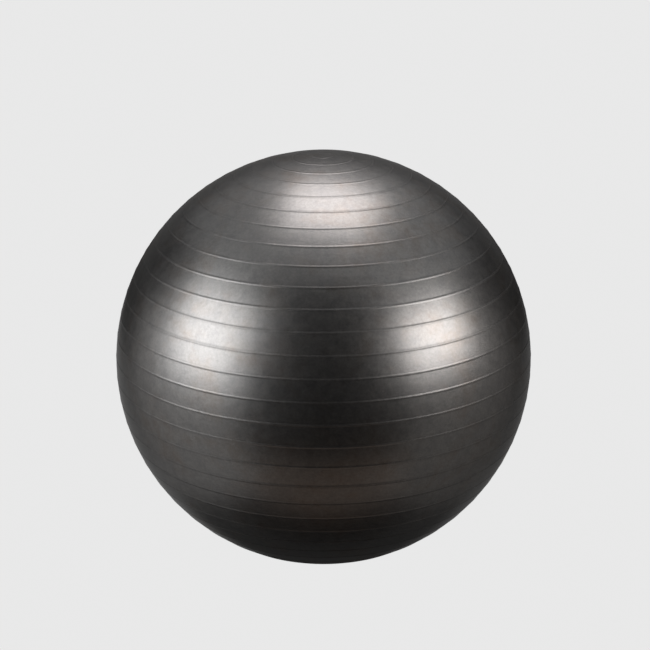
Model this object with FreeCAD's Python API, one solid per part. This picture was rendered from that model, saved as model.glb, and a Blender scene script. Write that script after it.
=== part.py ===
"""Exercise ball: a hollow, ribbed, inflated shell with a bonded valve seat and a pull-out valve plug.

The ball stands on the floor, the XY plane, with its poles on the Z axis. The origin is the middle of the
flat that its own weight presses into its underside. Raised ribs run round the shell as rings about Z.
The valve points along +Y on the equator, in the smooth band between the two middle ribs.
Each piece is built by its own function and written as one STEP file.
"""

import FreeCAD, Part
import math
import os

# Ball, in millimetres
BALL_RADIUS = 325.0  # nominal 650 mm ball, measured on the smooth wall between the ribs
WALL = 0.8  # stretched wall of the inflated ball
FLOOR_FLAT_RADIUS = 35.0  # round flat that the ball's weight presses into its underside
FLOOR_BLEND_RADIUS = 60.0  # rounding from the flat into the ball

# Ribs
RIBS_PER_HALF = 16  # rings from the equator to a pole
EQUATOR_STRETCH_DEG = 0.87  # inflating spreads the rings near the equator a little
RIB_WIDTH = 5.0
RIB_HEIGHT = 0.3

# Valve seat, bonded in the shell's wall
COLLAR_RADIUS = 12.0
FLANGE_RADIUS = 20.0
FLANGE_THICKNESS = 2.0
TUBE_RADIUS = 7.5
TUBE_DEPTH = 15.5  # from the ball's outer surface to the tube's inner end
BORE_RADIUS = 4.6
SEAT_ROUNDING = 0.4

# Valve plug
HEAD_RADIUS = 8.0
HEAD_THICKNESS = 1.8
GROOVE_RADIUS = 5.2  # middle of the shallow grip ring moulded in the head's face
GROOVE_WIDTH = 1.4
GROOVE_DEPTH = 0.4
HEAD_GAP = 0.3  # between the head's rim and the recess round it
HEAD_REST_GAP = 0.05  # between the head's underside and the recess floor
FIT_CLEARANCE = 0.05  # radial, between the sealing rings and the bore
STEM_RADIUS = 3.9
PLUG_LENGTH = 19.0  # from the head's face to the stem's tip
TIP_RADIUS = 2.6
TIP_LENGTH = 3.5
RING_COUNT = 3
RING_PITCH = 3.6
RING_RISE = 0.9  # length of each sealing ring's slope towards the tip
RING_LAND = 0.6  # length of each sealing ring's crown
FIRST_RING_DEPTH = 4.2  # from the head's face to the first sealing ring
PLUG_ROUNDING = 0.5
NOTCH_RADIUS = 3.0  # thumbnail notch in the collar, above the head's rim
NOTCH_DEPTH = 1.2

BLEND_REACH = BALL_RADIUS - FLOOR_BLEND_RADIUS  # from the ball's centre to the blend's own centre
CENTRE_HEIGHT = FLOOR_BLEND_RADIUS + math.sqrt(BLEND_REACH**2 - FLOOR_FLAT_RADIUS**2)
BLEND_LATITUDE_DEG = math.degrees(math.asin(FLOOR_FLAT_RADIUS / BLEND_REACH)) - 90.0
INNER_RADIUS = BALL_RADIUS - WALL
RECESS_DEPTH = HEAD_THICKNESS + HEAD_REST_GAP
TOUCH = 1e-3  # how close two sizes are to count as the same
CUT_MARGIN = 1.0  # how far a cut or a trimmed piece starts outside the surface
ORIGIN = FreeCAD.Vector(0, 0, 0)
CENTRE = FreeCAD.Vector(0, 0, CENTRE_HEIGHT)
UP = FreeCAD.Vector(0, 0, 1)
OUT = FreeCAD.Vector(0, 1, 0)  # the way the plug pulls out


def on_profile(radius, latitude_deg):
    """A point of the XZ profile, at a distance from the ball's centre and an angle above the equator."""
    angle = math.radians(latitude_deg)
    return FreeCAD.Vector(radius * math.cos(angle), 0, CENTRE_HEIGHT + radius * math.sin(angle))


def rib_latitudes():
    """Latitudes of the ribs in degrees, from the lowest to the highest, mirrored about the equator."""
    pitch = 90.0 / RIBS_PER_HALF
    upper = []
    for k in range(RIBS_PER_HALF):
        even = (k + 0.5) * pitch
        upper.append(even + EQUATOR_STRETCH_DEG * math.sin(math.radians(2 * even)))
    return [-latitude for latitude in reversed(upper)] + upper


def floor_profile(inset):
    """Edges of the flat and its blend, outwards from the axis, set in from the outer surface."""
    blend_centre = FreeCAD.Vector(FLOOR_FLAT_RADIUS, 0, FLOOR_BLEND_RADIUS)
    start = FreeCAD.Vector(FLOOR_FLAT_RADIUS, 0, inset)
    middle_angle = math.radians((BLEND_LATITUDE_DEG - 90.0) / 2)
    towards_middle = FreeCAD.Vector(math.cos(middle_angle), 0, math.sin(middle_angle))
    middle = blend_centre + towards_middle * (FLOOR_BLEND_RADIUS - inset)
    end = on_profile(BALL_RADIUS - inset, BLEND_LATITUDE_DEG)
    flat = Part.LineSegment(FreeCAD.Vector(0, 0, inset), start).toShape()
    blend = Part.Arc(start, middle, end).toShape()
    return [flat, blend]


def ball_arc(radius, start_deg, end_deg):
    """Arc of the profile about the ball's centre between two latitudes."""
    points = [on_profile(radius, a) for a in (start_deg, (start_deg + end_deg) / 2, end_deg)]
    return Part.Arc(*points).toShape()


def rib_profile(latitude_deg):
    """One rib: a concave root, a convex crown and a concave root, all of one radius and tangent."""
    turn = 2 * math.atan(2 * RIB_HEIGHT / RIB_WIDTH)
    root_radius = RIB_WIDTH / 4 / math.sin(turn)
    root_reach = RIB_WIDTH / 2 - root_radius * math.sin(turn / 2)
    root_rise = root_radius * (1 - math.cos(turn / 2))

    def point(along, rise):
        return on_profile(BALL_RADIUS + rise, latitude_deg + math.degrees(along / BALL_RADIUS))

    lower_foot = point(-RIB_WIDTH / 2, 0)
    lower_flank = point(-RIB_WIDTH / 4, RIB_HEIGHT / 2)
    upper_flank = point(RIB_WIDTH / 4, RIB_HEIGHT / 2)
    upper_foot = point(RIB_WIDTH / 2, 0)
    return [
        Part.Arc(lower_foot, point(-root_reach, root_rise), lower_flank).toShape(),
        Part.Arc(lower_flank, point(0, RIB_HEIGHT), upper_flank).toShape(),
        Part.Arc(upper_flank, point(root_reach, root_rise), upper_foot).toShape(),
    ]


def outer_profile():
    """Edges of the outer surface from the floor to the top: flat, blend, smooth wall and ribs by turns."""
    half_rib_deg = math.degrees(RIB_WIDTH / 2 / BALL_RADIUS)
    latitude = BLEND_LATITUDE_DEG
    edges = floor_profile(0)
    for rib in rib_latitudes():
        if rib - half_rib_deg < latitude:
            continue  # the lowest rib is pressed flat against the floor
        edges.append(ball_arc(BALL_RADIUS, latitude, rib - half_rib_deg))
        edges += rib_profile(rib)
        latitude = rib + half_rib_deg
    edges.append(ball_arc(BALL_RADIUS, latitude, 90.0))
    return edges


def make_ball_shell():
    """The ribbed shell, flattened where it stands, with a round hole for the valve seat's collar."""
    inside = floor_profile(WALL) + [ball_arc(INNER_RADIUS, BLEND_LATITUDE_DEG, 90.0)]
    top = Part.LineSegment(on_profile(BALL_RADIUS, 90.0), on_profile(INNER_RADIUS, 90.0)).toShape()
    bottom = Part.LineSegment(ORIGIN, FreeCAD.Vector(0, 0, WALL)).toShape()
    section = Part.Face(Part.Wire(Part.__sortEdges__(outer_profile() + [top, bottom] + inside)))
    shell = section.revolve(ORIGIN, UP, 360)
    return shell.cut(valve_cylinder(COLLAR_RADIUS, TUBE_DEPTH))


def valve_cylinder(radius, depth, start_depth=-CUT_MARGIN):
    """A cylinder on the valve's axis, down to a depth below the ball's outer surface."""
    base = CENTRE + OUT * (BALL_RADIUS - depth)
    return Part.makeCylinder(radius, depth - start_depth, base, OUT)


def make_valve_seat():
    """The seat: a collar in the shell's hole, a flange bonded to the inner wall, and a tube for the plug."""
    collar = valve_cylinder(COLLAR_RADIUS, TUBE_DEPTH / 2).common(Part.makeSphere(BALL_RADIUS, CENTRE))
    flange = valve_cylinder(FLANGE_RADIUS, TUBE_DEPTH / 2).common(Part.makeSphere(INNER_RADIUS, CENTRE))
    under_flange = Part.makeSphere(INNER_RADIUS - FLANGE_THICKNESS, CENTRE)
    tube = valve_cylinder(TUBE_RADIUS, TUBE_DEPTH, start_depth=HEAD_THICKNESS)
    seat = collar.fuse(flange).cut(under_flange).fuse(tube)
    seat = seat.cut(valve_cylinder(BORE_RADIUS, TUBE_DEPTH + CUT_MARGIN))
    seat = seat.cut(valve_cylinder(HEAD_RADIUS + HEAD_GAP, RECESS_DEPTH))
    notch = valve_cylinder(NOTCH_RADIUS, NOTCH_DEPTH)
    notch.translate(UP * HEAD_RADIUS)
    seat = seat.cut(notch).removeSplitter()
    return seat.makeFillet(SEAT_ROUNDING, seat_rims(seat))


def seat_rims(seat):
    """The round rims at the tube's inner end and at the bore's mouth in the recess."""
    rims = []
    for edge in seat.Edges:
        if not isinstance(edge.Curve, Part.Circle) or not edge.isClosed():
            continue
        depth = BALL_RADIUS - edge.Curve.Center.y
        at_end = abs(depth - TUBE_DEPTH) < TOUCH
        at_mouth = abs(depth - RECESS_DEPTH) < TOUCH and abs(edge.Curve.Radius - BORE_RADIUS) < TOUCH
        if at_end or at_mouth:
            rims.append(edge)
    return rims


def plug_outline():
    """Half outline of the plug as (radius, depth) pairs, from the head's face down to the tip."""
    ring_radius = BORE_RADIUS - FIT_CLEARANCE
    groove_floor = GROOVE_WIDTH / 2 - GROOVE_DEPTH  # half its width at the bottom, between 45 degree sides
    outline = [
        (0.0, 0.0),
        (GROOVE_RADIUS - GROOVE_WIDTH / 2, 0.0),
        (GROOVE_RADIUS - groove_floor, GROOVE_DEPTH),
        (GROOVE_RADIUS + groove_floor, GROOVE_DEPTH),
        (GROOVE_RADIUS + GROOVE_WIDTH / 2, 0.0),
        (HEAD_RADIUS, 0.0),
        (HEAD_RADIUS, HEAD_THICKNESS),
        (STEM_RADIUS, HEAD_THICKNESS),
    ]
    for k in range(RING_COUNT):
        depth = FIRST_RING_DEPTH + k * RING_PITCH
        outline += [
            (STEM_RADIUS, depth),
            (ring_radius, depth),
            (ring_radius, depth + RING_LAND),
            (STEM_RADIUS, depth + RING_LAND + RING_RISE),
        ]
    outline += [(STEM_RADIUS, PLUG_LENGTH - TIP_LENGTH), (TIP_RADIUS, PLUG_LENGTH), (0.0, PLUG_LENGTH)]
    return outline


def make_valve_plug():
    """The plug: a flush round head with a grip ring and a barbed stem, turned about the valve's axis."""
    points = [CENTRE + FreeCAD.Vector(radius, BALL_RADIUS - depth, 0) for radius, depth in plug_outline()]
    plug = Part.Face(Part.makePolygon(points + [points[0]])).revolve(CENTRE, OUT, 360)
    rims = []
    for edge in plug.Edges:
        if not isinstance(edge.Curve, Part.Circle):
            continue
        depth = BALL_RADIUS - edge.Curve.Center.y
        if abs(edge.Curve.Radius - HEAD_RADIUS) < TOUCH or abs(depth - PLUG_LENGTH) < TOUCH:
            rims.append(edge)
    plug = plug.makeFillet(PLUG_ROUNDING, rims)
    return plug.common(Part.makeSphere(BALL_RADIUS, CENTRE))


def main():
    os.makedirs("parts", exist_ok=True)
    pieces = {
        "ball_shell": make_ball_shell(),
        "valve_seat": make_valve_seat(),
        "valve_plug": make_valve_plug(),
    }
    for name, shape in pieces.items():
        print(name, "valid:", shape.isValid(), "solids:", len(shape.Solids), "mm3:", round(shape.Volume))
        shape.exportStep("parts/%s.step" % name)


main()
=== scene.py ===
import math

import bpy
from mathutils import Euler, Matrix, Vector


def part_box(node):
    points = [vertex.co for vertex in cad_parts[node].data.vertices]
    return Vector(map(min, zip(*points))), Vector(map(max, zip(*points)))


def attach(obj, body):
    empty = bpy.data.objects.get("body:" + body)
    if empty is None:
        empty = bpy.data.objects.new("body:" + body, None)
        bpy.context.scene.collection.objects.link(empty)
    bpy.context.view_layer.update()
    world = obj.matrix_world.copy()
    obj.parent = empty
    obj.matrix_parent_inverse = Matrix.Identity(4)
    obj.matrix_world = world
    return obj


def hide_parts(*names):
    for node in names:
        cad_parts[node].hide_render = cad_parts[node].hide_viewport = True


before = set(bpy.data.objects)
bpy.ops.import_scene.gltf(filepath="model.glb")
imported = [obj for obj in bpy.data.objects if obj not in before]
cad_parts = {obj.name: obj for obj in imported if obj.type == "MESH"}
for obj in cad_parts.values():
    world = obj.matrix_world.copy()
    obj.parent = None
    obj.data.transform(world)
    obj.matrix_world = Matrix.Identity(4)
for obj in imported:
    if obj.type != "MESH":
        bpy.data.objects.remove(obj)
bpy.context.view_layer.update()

mm = 0.001
weldDistance = 0.01 * mm   # points nearer than this are one point
plugLow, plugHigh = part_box("valve_plug")
ballRadius = plugHigh.y   # the plug's face is flush with the smooth wall
ballCentre = Vector((0, 0, (plugLow.z + plugHigh.z) / 2))   # the plug is level with it


def deselectAll():
    if bpy.context.object and bpy.context.object.mode != "OBJECT":
        bpy.ops.object.mode_set(mode="OBJECT")
    bpy.ops.object.select_all(action="DESELECT")


def makeActive(piece):
    deselectAll()
    piece.select_set(True)
    bpy.context.view_layer.objects.active = piece


def drawOutline(name, points):
    # a plane merged to one vertex, then extruded from point to point
    deselectAll()
    bpy.ops.mesh.primitive_plane_add(size=1 * mm, location=(0, 0, 0))
    piece = bpy.context.object
    piece.name = piece.data.name = name
    bpy.ops.object.mode_set(mode="EDIT")
    bpy.ops.mesh.merge(type="CENTER")
    bpy.ops.transform.translate(value=points[0])
    for here, there in zip(points, points[1:]):
        bpy.ops.mesh.extrude_region_move(TRANSFORM_OT_translate={"value": there - here})
    bpy.ops.object.mode_set(mode="OBJECT")
    return piece


def spinOutline(piece, steps, inward=False):
    # a full turn about the ball's upright axis, closed at the seam and the poles
    makeActive(piece)
    bpy.ops.object.mode_set(mode="EDIT")
    bpy.ops.mesh.select_all(action="SELECT")
    bpy.ops.mesh.spin(steps=steps, angle=2 * math.pi, center=(0, 0, 0), axis=(0, 0, 1))
    bpy.ops.mesh.select_all(action="SELECT")
    bpy.ops.mesh.remove_doubles(threshold=weldDistance)
    bpy.ops.mesh.normals_make_consistent(inside=inward)
    bpy.ops.object.mode_set(mode="OBJECT")
    return piece


# the shell is ribbed outside and smooth inside, with a round hole for the valve
shell = {
    "wall": 0.8 * mm,
    "floorFlatRadius": 35 * mm,    # pressed flat by the ball's own weight
    "floorBlendRadius": 60 * mm,
    "ribsPerHalf": 16,
    "equatorStretch": 0.87,        # degrees, how far inflating spreads the middle ribs
    "ribWidth": 5 * mm,
    "ribHeight": 0.3 * mm,
    "ribPoints": 6,                # edges across one rib
    "ribMargin": 0.7 * mm,         # narrow row beside each rib, which keeps the wall's shading true
    "wallPoints": 2,               # edges between two ribs, inside those rows
    "blendPoints": 8,
    "steps": 240,                  # faces round the outside
    "innerSteps": 128,             # faces round the inside
    "innerPoints": 64,             # edges from the inside's bottom to its top
    "valveHoleRadius": 12 * mm,
    "valveHoleSides": 96,
    "valveCutDepth": 50 * mm,      # from the surface inwards, well past the wall
    "sharpAngle": 50,              # degrees, where the shading breaks: only at the valve hole's rims
}


def ribLatitudes():
    pitch = 90 / shell["ribsPerHalf"]
    upper = []
    for k in range(shell["ribsPerHalf"]):
        even = (k + 0.5) * pitch
        upper.append(math.radians(even + shell["equatorStretch"] * math.sin(math.radians(2 * even))))
    return [-latitude for latitude in reversed(upper)] + upper


def onProfile(radius, latitude):
    return ballCentre + Vector((radius * math.cos(latitude), 0, radius * math.sin(latitude)))


def ribRise(along):
    # height of the rib's round crown and hollow roots, at a distance from its middle
    turn = 2 * math.atan(2 * shell["ribHeight"] / shell["ribWidth"])
    bend = shell["ribWidth"] / 4 / math.sin(turn)
    away = abs(along)
    if away < shell["ribWidth"] / 4:
        return shell["ribHeight"] - bend + math.sqrt(bend**2 - away**2)
    return bend - math.sqrt(max(bend**2 - (shell["ribWidth"] / 2 - away) ** 2, 0))


def floorOutline(inset):
    # the flat's rim and the blend above it, from the axis outwards
    reach = ballRadius - shell["floorBlendRadius"]
    top = math.asin(shell["floorFlatRadius"] / reach)
    middle = Vector((shell["floorFlatRadius"], 0, shell["floorBlendRadius"]))
    radius = shell["floorBlendRadius"] - inset
    points = [Vector((0, 0, inset))]
    for k in range(shell["blendPoints"] + 1):
        lean = top * k / shell["blendPoints"]
        points.append(middle + Vector((math.sin(lean), 0, -math.cos(lean))) * radius)
    return points, top - math.pi / 2


def outerOutline():
    points, wallStart = floorOutline(0)
    halfRib = shell["ribWidth"] / 2 / ballRadius
    margin = shell["ribMargin"] / ballRadius
    for rib in ribLatitudes():
        wallEnd = rib - halfRib - margin
        if wallEnd < wallStart - margin:
            continue   # the lowest rib is pressed flat on the floor
        for k in range(1, shell["wallPoints"] + 1):
            turned = wallStart + (wallEnd - wallStart) * k / shell["wallPoints"]
            points.append(onProfile(ballRadius, turned))
        for k in range(shell["ribPoints"] + 1):
            along = shell["ribWidth"] * (k / shell["ribPoints"] - 0.5)
            points.append(onProfile(ballRadius + ribRise(along), rib + along / ballRadius))
        wallStart = rib + halfRib + margin
        points.append(onProfile(ballRadius, wallStart))
    points.append(onProfile(ballRadius, math.pi / 2))
    return points


def innerOutline():
    points, wallStart = floorOutline(shell["wall"])
    for k in range(1, shell["innerPoints"] + 1):
        turned = wallStart + (math.pi / 2 - wallStart) * k / shell["innerPoints"]
        points.append(onProfile(ballRadius - shell["wall"], turned))
    return points


def cutValveHole(piece):
    deselectAll()
    bpy.ops.mesh.primitive_cylinder_add(
        vertices=shell["valveHoleSides"], radius=shell["valveHoleRadius"],
        depth=2 * shell["valveCutDepth"], rotation=(math.pi / 2, 0, 0),
        location=ballCentre + Vector((0, ballRadius, 0)))
    cutter = bpy.context.object
    makeActive(piece)
    cut = piece.modifiers.new("valve hole", "BOOLEAN")
    cut.operation = "DIFFERENCE"
    cut.solver = "EXACT"
    cut.object = cutter
    bpy.ops.object.modifier_apply(modifier=cut.name)
    bpy.data.objects.remove(cutter)
    bpy.ops.object.mode_set(mode="EDIT")
    bpy.ops.mesh.select_all(action="SELECT")
    bpy.ops.mesh.remove_doubles(threshold=2 * weldDistance)   # slivers along the cut
    bpy.ops.object.mode_set(mode="OBJECT")


def makeShell():
    outside = spinOutline(drawOutline("ribbed_shell", outerOutline()), shell["steps"])
    inside = spinOutline(drawOutline("shell_inside", innerOutline()), shell["innerSteps"], inward=True)
    makeActive(outside)
    inside.select_set(True)
    bpy.ops.object.join()
    cutValveHole(outside)
    makeActive(outside)
    bpy.ops.object.shade_smooth_by_angle(angle=math.radians(shell["sharpAngle"]))
    return outside


def addNode(tree, kind, inputs=(), **settings):
    # inputs holds each socket's fixed value, or the output that is wired into it
    node = tree.nodes.new(kind)
    for name, value in settings.items():
        setattr(node, name, value)
    for socket, value in dict(inputs).items():
        if isinstance(value, bpy.types.NodeSocket):
            tree.links.new(value, node.inputs[socket])
        else:
            node.inputs[socket].default_value = value
    return node


def doMath(tree, operation, *values):
    node = addNode(tree, "ShaderNodeMath", dict(enumerate(values)), operation=operation)
    return node.outputs["Value"]


def remap(tree, value, fromRange, toRange, kind="LINEAR"):
    node = addNode(tree, "ShaderNodeMapRange", {
        "Value": value, "From Min": fromRange[0], "From Max": fromRange[1],
        "To Min": toRange[0], "To Max": toRange[1]}, interpolation_type=kind)
    return node.outputs["Result"]


def mixColours(tree, factor, first, second, blend="MIX"):
    node = addNode(tree, "ShaderNodeMix", data_type="RGBA", blend_type=blend)
    for socket, value in (("Factor_Float", factor), ("A_Color", first), ("B_Color", second)):
        target = next(entry for entry in node.inputs if entry.identifier == socket)
        if isinstance(value, bpy.types.NodeSocket):
            tree.links.new(value, target)
        else:
            target.default_value = value
    return next(entry for entry in node.outputs if entry.identifier == "Result_Color")


def startGroup(name, inputs, outputs):
    tree = bpy.data.node_groups.new(name, "ShaderNodeTree")
    for socket, kind in inputs.items():
        tree.interface.new_socket(socket, in_out="INPUT", socket_type="NodeSocket" + kind)
    for socket, kind in outputs.items():
        tree.interface.new_socket(socket, in_out="OUTPUT", socket_type="NodeSocket" + kind)
    ins = tree.nodes.new("NodeGroupInput").outputs
    outs = tree.nodes.new("NodeGroupOutput").inputs
    return tree, ins, outs


def useGroup(tree, group, inputs):
    return addNode(tree, "ShaderNodeGroup", inputs, node_tree=group).outputs


def makeNoise(tree, place, scale, detail, **shape):
    inputs = {"Vector": place, "Scale": scale, "Detail": detail, **shape}
    return addNode(tree, "ShaderNodeTexNoise", inputs).outputs["Fac"]


def makeBlotchGroup():
    # cloudy patches, with smaller ones inside them, from 0 to 1
    inputs = {"Place": "Vector", "Size": "Float"}
    tree, ins, outs = startGroup("moulding_blotches", inputs, {"Mask": "Float"})
    smallerBy, smallShare, cloudRange = 3.7, 0.45, (0.48, 0.98)
    scale = doMath(tree, "DIVIDE", 1, ins["Size"])
    smallScale = doMath(tree, "MULTIPLY", scale, smallerBy)
    broad = makeNoise(tree, ins["Place"], scale, 5, Roughness=0.62, Distortion=0.4)
    small = makeNoise(tree, ins["Place"], smallScale, 3)
    together = doMath(tree, "MULTIPLY_ADD", small, smallShare, broad)
    tree.links.new(remap(tree, together, cloudRange, (0, 1)), outs["Mask"])
    return tree


def makeGrainGroup():
    # pebbled skin of moulded plastic: soft raised cells with a finer tooth on top
    inputs = {"Place": "Vector", "Size": "Float"}
    tree, ins, outs = startGroup("moulded_grain", inputs, {"Height": "Float"})
    finerBy, toothHeight = 2.6, 0.5
    scale = doMath(tree, "DIVIDE", 1, ins["Size"])
    cells = addNode(tree, "ShaderNodeTexVoronoi", {"Vector": ins["Place"], "Scale": scale},
                    feature="SMOOTH_F1")
    tooth = makeNoise(tree, ins["Place"], doMath(tree, "MULTIPLY", scale, finerBy), 2)
    raised = doMath(tree, "SUBTRACT", 1, cells.outputs["Distance"])
    tree.links.new(doMath(tree, "MULTIPLY_ADD", tooth, toothHeight, raised), outs["Height"])
    return tree


def makeScuffGroup():
    # short thin rub marks in patches, from 0 to 1
    inputs = {"Place": "Vector", "Size": "Float", "Amount": "Float"}
    tree, ins, outs = startGroup("rub_marks", inputs, {"Mask": "Float"})
    directions = ((0.5, (1, 14, 1)), (2.1, (9, 1, 2)))   # a turn in radians and a squeeze
    markRange, patchRange, patchesLargerBy = (0.66, 0.76), (0.45, 0.62), 9
    scale = doMath(tree, "DIVIDE", 1, ins["Size"])
    marks = []
    for turn, squeeze in directions:
        laid = addNode(tree, "ShaderNodeMapping", {
            "Vector": ins["Place"], "Rotation": (turn, turn / 2, turn / 3), "Scale": squeeze})
        noise = makeNoise(tree, laid.outputs["Vector"], scale, 1)
        marks.append(remap(tree, noise, markRange, (0, 1)))
    patches = makeNoise(tree, ins["Place"], doMath(tree, "DIVIDE", scale, patchesLargerBy), 2)
    inPatches = doMath(tree, "MULTIPLY", doMath(tree, "MAXIMUM", *marks),
                       remap(tree, patches, patchRange, (0, 1)))
    tree.links.new(doMath(tree, "MULTIPLY", inPatches, ins["Amount"]), outs["Mask"])
    return tree


def doVector(tree, operation, *values):
    return addNode(tree, "ShaderNodeVectorMath", dict(enumerate(values)), operation=operation).outputs


def makeRibGroup():
    # how far a point lies above (+) or below (-) the middle of its nearest rib, in half rib widths
    tree, ins, outs = startGroup("across_the_rib", {"Place": "Vector"}, {"Across": "Float"})
    fromCentre = doVector(tree, "SUBTRACT", ins["Place"], ballCentre)["Vector"]
    unit = doVector(tree, "NORMALIZE", fromCentre)["Vector"]
    height = addNode(tree, "ShaderNodeSeparateXYZ", {"Vector": unit}).outputs["Z"]
    latitude = doMath(tree, "ARCSINE", height)
    spread = doMath(tree, "SINE", doMath(tree, "MULTIPLY", latitude, 2))
    even = doMath(tree, "MULTIPLY_ADD", spread, -math.radians(shell["equatorStretch"]), latitude)
    pitch = math.radians(90 / shell["ribsPerHalf"])
    inPitch = doMath(tree, "FRACT", doMath(tree, "DIVIDE", even, pitch))
    offMiddle = doMath(tree, "SUBTRACT", inPitch, 0.5)
    halfWidths = pitch * ballRadius / (shell["ribWidth"] / 2)
    tree.links.new(doMath(tree, "MULTIPLY", offMiddle, halfWidths), outs["Across"])
    return tree


def startMaterial(name):
    material = bpy.data.materials.new(name)
    material.use_nodes = True
    tree = material.node_tree
    place = addNode(tree, "ShaderNodeTexCoord").outputs["Object"]
    return material, tree, tree.nodes["Principled BSDF"], place


def bumpFrom(tree, layers):
    # each layer is a height and how deep it goes
    normal = None
    for height, depth in layers:
        bump = addNode(tree, "ShaderNodeBump", {"Height": height, "Strength": 1, "Distance": depth})
        if normal:
            tree.links.new(normal, bump.inputs["Normal"])
        normal = bump.outputs["Normal"]
    return normal


# the shell's glossy charcoal vinyl, which mirrors its surroundings softly
vinyl = {
    "colour": (0.116, 0.116, 0.117, 1),
    "paleColour": (0.147, 0.146, 0.144, 1),
    "warmColour": (0.121, 0.111, 0.104, 1),
    "fleckShade": (0.78, 0.78, 0.78, 1),
    "warmPatchSize": 90 * mm,
    "warmRange": (0.45, 0.8),      # cloudiness over which a patch turns warm
    "blotchSize": 14 * mm,
    "fleckSize": 4 * mm,
    "metallic": 1.0,
    "edgeTint": (0.4, 0.4, 0.4, 1),   # keeps the sheen low where the surface turns away
    "roughness": (0.335, 0.365),
    "grainSize": 1.1 * mm,
    "grainDepth": 0.012 * mm,
    "rippleSize": 5 * mm,          # faint unevenness left by the mould
    "rippleDepth": 0.045 * mm,
    # painted shade along each rib, darker in the hollows at its feet and on its crown and upper flank,
    # which deepens its dark lines and dims its bright ones: half rib widths above its middle, and the
    # shade there
    "ribPaintedShade": ((-1.6, 1.0), (-0.88, 0.92), (0.0, 0.95), (0.72, 0.8), (1.4, 1.0)),
    "ribRoughness": 0.035,         # ribs take the rubbing, so they are duller
    "ribRoughReach": (0.4, 1.3),   # half rib widths, over which that fades out
    "scuffSize": 6 * mm,
    "scuffAmount": 0.5,
    "scuffRoughness": 0.12,
}


def ribShade(tree, across):
    # painted shade across the rib, from under it, over its crown, to above it
    reach = 2
    ramp = addNode(tree, "ShaderNodeValToRGB", {"Fac": remap(tree, across, (-reach, reach), (0, 1))})
    stops = ramp.color_ramp.elements
    places = [(halfWidths + reach) / (2 * reach) for halfWidths, shade in vinyl["ribPaintedShade"]]
    stops[0].position, stops[1].position = places[0], places[-1]
    for place in places[1:-1]:
        stops.new(place)
    for stop, (halfWidths, shade) in zip(stops, vinyl["ribPaintedShade"]):
        stop.color = (shade, shade, shade, 1)
    ramp.color_ramp.interpolation = "B_SPLINE"
    return ramp.outputs["Color"]


def makeVinyl(name, groups):
    material, tree, shader, place = startMaterial(name)

    def blotchesOf(size):
        return useGroup(tree, groups["blotches"], {"Place": place, "Size": size})["Mask"]

    blotches = blotchesOf(vinyl["blotchSize"])
    across = useGroup(tree, groups["ribs"], {"Place": place})["Across"]
    warmth = remap(tree, blotchesOf(vinyl["warmPatchSize"]), vinyl["warmRange"], (0, 1))
    colour = mixColours(tree, warmth, vinyl["colour"], vinyl["warmColour"])
    colour = mixColours(tree, blotches, colour, vinyl["paleColour"])
    colour = mixColours(tree, blotchesOf(vinyl["fleckSize"]), colour, vinyl["fleckShade"], "MULTIPLY")
    # the ribs' painted shade, multiplied into the vinyl's colour
    colour = mixColours(tree, 1.0, colour, ribShade(tree, across), "MULTIPLY")
    tree.links.new(colour, shader.inputs["Base Color"])
    shader.inputs["Metallic"].default_value = vinyl["metallic"]
    shader.inputs["Specular Tint"].default_value = vinyl["edgeTint"]
    scuffs = useGroup(tree, groups["scuffs"], {
        "Place": place, "Size": vinyl["scuffSize"], "Amount": vinyl["scuffAmount"]})["Mask"]
    dulled = remap(tree, doMath(tree, "ABSOLUTE", across), vinyl["ribRoughReach"],
                   (vinyl["ribRoughness"], 0), "SMOOTHSTEP")
    roughness = doMath(tree, "ADD", remap(tree, blotches, (0, 1), vinyl["roughness"]), dulled)
    roughness = doMath(tree, "MULTIPLY_ADD", scuffs, vinyl["scuffRoughness"], roughness)
    tree.links.new(roughness, shader.inputs["Roughness"])
    grain = useGroup(tree, groups["grain"], {"Place": place, "Size": vinyl["grainSize"]})["Height"]
    ripple = blotchesOf(vinyl["rippleSize"])
    normal = bumpFrom(tree, ((ripple, vinyl["rippleDepth"]), (grain, vinyl["grainDepth"])))
    tree.links.new(normal, shader.inputs["Normal"])
    return material


# the valve's seat is the same vinyl, cast thick and matt
seat = {
    "colour": (0.03, 0.03, 0.031, 1),
    "dustColour": (0.09, 0.085, 0.08, 1),
    "blotchSize": 5 * mm,
    "roughness": (0.5, 0.62),
    "grainSize": 0.6 * mm,
    "grainDepth": 0.02 * mm,
    "scuffSize": 3 * mm,
    "scuffAmount": 0.7,
    "dustRange": (0.5, 1),         # cloudiness over which dust has settled
    "dustAmount": 0.5,
}


def makeSeatMaterial(name, groups):
    material, tree, shader, place = startMaterial(name)
    blotches = useGroup(tree, groups["blotches"], {"Place": place, "Size": seat["blotchSize"]})["Mask"]
    scuffs = useGroup(tree, groups["scuffs"], {
        "Place": place, "Size": seat["scuffSize"], "Amount": seat["scuffAmount"]})["Mask"]
    settled = remap(tree, blotches, seat["dustRange"], (0, seat["dustAmount"]))
    dust = doMath(tree, "MAXIMUM", settled, scuffs)
    colour = mixColours(tree, dust, seat["colour"], seat["dustColour"])
    tree.links.new(colour, shader.inputs["Base Color"])
    tree.links.new(remap(tree, blotches, (0, 1), seat["roughness"]), shader.inputs["Roughness"])
    grain = useGroup(tree, groups["grain"], {"Place": place, "Size": seat["grainSize"]})["Height"]
    tree.links.new(bumpFrom(tree, ((grain, seat["grainDepth"]),)), shader.inputs["Normal"])
    return material


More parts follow.
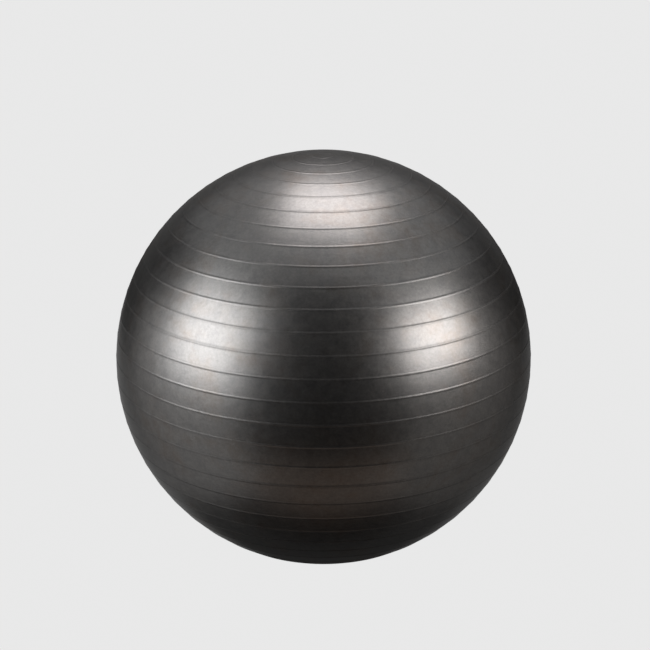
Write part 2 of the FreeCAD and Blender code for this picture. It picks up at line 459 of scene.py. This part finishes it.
# the plug is moulded in soft off-white plastic, greyed by handling round its rim
plug = {
    "colour": (0.63, 0.62, 0.58, 1),
    "yellowedColour": (0.6, 0.57, 0.49, 1),
    "grimeColour": (0.2, 0.19, 0.175, 1),
    "headRadius": 8 * mm,
    "grimeWidth": 1.2 * mm,
    "grimeAmount": 0.6,
    "blotchSize": 6 * mm,
    "roughness": (0.34, 0.48),
    "grainSize": 0.45 * mm,
    "grainDepth": 0.012 * mm,
    "scuffSize": 2.5 * mm,
    "scuffAmount": 0.6,
    "scuffGrime": 0.4,
    "scatter": 0.15,
    "scatterReach": (1, 0.9, 0.7),
    "scatterScale": 1.5 * mm,
}


def makePlugMaterial(name, groups):
    material, tree, shader, place = startMaterial(name)
    blotches = useGroup(tree, groups["blotches"], {"Place": place, "Size": plug["blotchSize"]})["Mask"]
    scuffs = useGroup(tree, groups["scuffs"], {
        "Place": place, "Size": plug["scuffSize"], "Amount": plug["scuffAmount"]})["Mask"]
    fromCentre = doVector(tree, "SUBTRACT", place, ballCentre)["Vector"]
    acrossAxis = doVector(tree, "MULTIPLY", fromCentre, (1, 0, 1))["Vector"]
    fromAxis = doVector(tree, "LENGTH", acrossAxis)["Value"]
    grimeStart = plug["headRadius"] - plug["grimeWidth"]
    rim = remap(tree, fromAxis, (grimeStart, plug["headRadius"]), (0, plug["grimeAmount"]), "SMOOTHSTEP")
    rimGrime = doMath(tree, "MULTIPLY", rim, blotches)
    scuffGrime = doMath(tree, "MULTIPLY", scuffs, plug["scuffGrime"])
    grime = doMath(tree, "MAXIMUM", rimGrime, scuffGrime)
    colour = mixColours(tree, blotches, plug["colour"], plug["yellowedColour"])
    colour = mixColours(tree, grime, colour, plug["grimeColour"])
    tree.links.new(colour, shader.inputs["Base Color"])
    tree.links.new(remap(tree, blotches, (0, 1), plug["roughness"]), shader.inputs["Roughness"])
    shader.inputs["Subsurface Weight"].default_value = plug["scatter"]
    shader.inputs["Subsurface Radius"].default_value = plug["scatterReach"]
    shader.inputs["Subsurface Scale"].default_value = plug["scatterScale"]
    grain = useGroup(tree, groups["grain"], {"Place": place, "Size": plug["grainSize"]})["Height"]
    tree.links.new(bumpFrom(tree, ((grain, plug["grainDepth"]),)), shader.inputs["Normal"])
    return material


def coat(node, material):
    # gives a carried-over design piece its finish
    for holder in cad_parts[node].material_slots:
        holder.material = material


# a pale floor and background, seamless to the camera
stage = {
    "floorSize": 60,
    "paleGrey": (0.812, 0.812, 0.812),
    "worldLight": 0.012,     # what the background lends the ball, beside the lights
}

camera = {
    "elevation": 20.3,       # degrees above the horizon
    "distance": 8.2,         # in ball radii, from the ball's centre
    "lens": 93.4,
    "sensorWidth": 36,
    "aimUp": 1.067,          # degrees, how far it looks over the ball's centre
    "aimRight": 0.054,
    "roll": -0.17,
}

# azimuth 0 is the camera's side and 90 is to its right, distances and sizes are in metres,
# and glow is how bright the light's own face is
lights = {
    "left_box": {"azimuth": -65.7, "elevation": 18.4, "distance": 2.2, "size": (1.34, 1.25), "glow": 7,
                 "colour": (1.03, 1.0, 0.985)},
    "left_halo": {"azimuth": -66, "elevation": 18.5, "distance": 2.21, "size": (2.1, 1.95), "glow": 2.35},
    "right_box": {"azimuth": 62.7, "elevation": 19.2, "distance": 2.2, "size": (1.34, 0.98), "glow": 10.8,
                  "colour": (1.05, 1.0, 0.97)},
    "top_box": {"azimuth": 168, "elevation": 76, "distance": 2.2, "size": (1.3, 1.3), "glow": 8.1,
                "colour": (1.05, 0.98, 0.96)},
    "top_halo": {"azimuth": 168, "elevation": 76, "distance": 2.21, "size": (6.3, 4.2), "glow": 0.75},
    "left_bounce": {"azimuth": -82, "elevation": -20, "distance": 1.9, "size": (2.6, 2.6), "glow": 0.72,
                    "colour": (1.03, 1.0, 0.98)},
    "right_bounce": {"azimuth": 80, "elevation": -23, "distance": 1.9, "size": (2.6, 2.6), "glow": 0.34,
                     "colour": (1.06, 1.0, 0.95)},
    "low_fill": {"azimuth": 0, "elevation": -50, "distance": 2.0, "size": (2.4, 1.0), "glow": 0.27,
                 "colour": (1.25, 0.97, 0.8)},
    "back_glow": {"azimuth": 180, "elevation": -20, "distance": 2.6, "size": (1.3, 1.1), "glow": 2.5},
    "back_fill": {"azimuth": 180, "elevation": 25, "distance": 2.6, "size": (4.4, 2.8), "glow": 0.3},
    "back_low": {"azimuth": 180, "elevation": -68, "distance": 2.2, "size": (3.2, 1.5), "glow": 0.14},
    "left_floor": {"azimuth": -145, "elevation": -30, "distance": 2.2, "size": (1.6, 1.4), "glow": 0.7},
    "right_floor": {"azimuth": 145, "elevation": -30, "distance": 2.2, "size": (1.6, 1.4), "glow": 0.45},
}


def makePaleGlow(tree, shaderType, otherLight):
    # the same pale grey wherever the camera looks, and dim to everything else
    seen = addNode(tree, "ShaderNodeLightPath").outputs["Is Camera Ray"]
    strength = remap(tree, seen, (0, 1), (otherLight, 1))
    return addNode(tree, shaderType, {"Color": (*stage["paleGrey"], 1), "Strength": strength})


def makeFloor():
    deselectAll()
    bpy.ops.mesh.primitive_plane_add(size=stage["floorSize"], location=(0, 0, 0))
    floor = bpy.context.object
    floor.name = "floor"
    material = bpy.data.materials.new("pale_floor")
    material.use_nodes = True
    tree = material.node_tree
    tree.nodes.clear()
    glow = makePaleGlow(tree, "ShaderNodeEmission", 1)
    out = addNode(tree, "ShaderNodeOutputMaterial")
    tree.links.new(glow.outputs["Emission"], out.inputs["Surface"])
    floor.data.materials.append(material)
    floor.visible_glossy = False
    floor.visible_diffuse = False
    floor.visible_shadow = False


def makeWorld():
    world = bpy.data.worlds.new("studio")
    bpy.context.scene.world = world
    world.use_nodes = True
    tree = world.node_tree
    tree.nodes.clear()
    glow = makePaleGlow(tree, "ShaderNodeBackground", stage["worldLight"])
    out = addNode(tree, "ShaderNodeOutputWorld")
    tree.links.new(glow.outputs["Background"], out.inputs["Surface"])


def makeLight(name, facts):
    data = bpy.data.lights.new(name, "AREA")
    data.shape = "RECTANGLE"
    data.size, data.size_y = facts["size"]
    data.energy = facts["glow"] * math.pi * data.size * data.size_y
    data.color = facts.get("colour", (1, 1, 1))
    light = bpy.data.objects.new(name, data)
    bpy.context.collection.objects.link(light)
    around, up = math.radians(facts["azimuth"]), math.radians(facts["elevation"])
    towards = Vector((math.sin(around) * math.cos(up), -math.cos(around) * math.cos(up), math.sin(up)))
    light.location = ballCentre + towards * facts["distance"]
    light.rotation_euler = towards.to_track_quat("Z", "Y").to_euler()
    light.visible_camera = False


def makeCamera():
    data = bpy.data.cameras.new("camera")
    data.lens = camera["lens"]
    data.sensor_width = camera["sensorWidth"]
    view = bpy.data.objects.new("camera", data)
    bpy.context.collection.objects.link(view)
    tilt = math.radians(camera["elevation"])
    back = Vector((0, -math.cos(tilt), math.sin(tilt)))
    view.location = ballCentre + back * camera["distance"] * ballRadius
    up, side = math.radians(camera["aimUp"]), math.radians(camera["aimRight"])
    turn = Euler((math.pi / 2 - tilt + up, 0, -side), "XYZ").to_matrix()
    roll = Euler((0, 0, math.radians(camera["roll"])), "XYZ").to_matrix()
    view.rotation_euler = (turn @ roll).to_euler()
    bpy.context.scene.camera = view


surfaceGroups = {
    "blotches": makeBlotchGroup(),
    "grain": makeGrainGroup(),
    "scuffs": makeScuffGroup(),
    "ribs": makeRibGroup(),
}

print("modelling the shell")
ribbedShell = makeShell()
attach(ribbedShell, "ball")
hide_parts("ball_shell")
ribbedShell.data.materials.append(makeVinyl("charcoal_vinyl", surfaceGroups))

print("finishing the valve")
coat("valve_seat", makeSeatMaterial("seat_vinyl", surfaceGroups))
coat("valve_plug", makePlugMaterial("plug_plastic", surfaceGroups))

print("setting the stage")
makeFloor()
makeWorld()
for name, facts in lights.items():
    makeLight(name, facts)
makeCamera()
bpy.context.scene.view_settings.view_transform = "Standard"
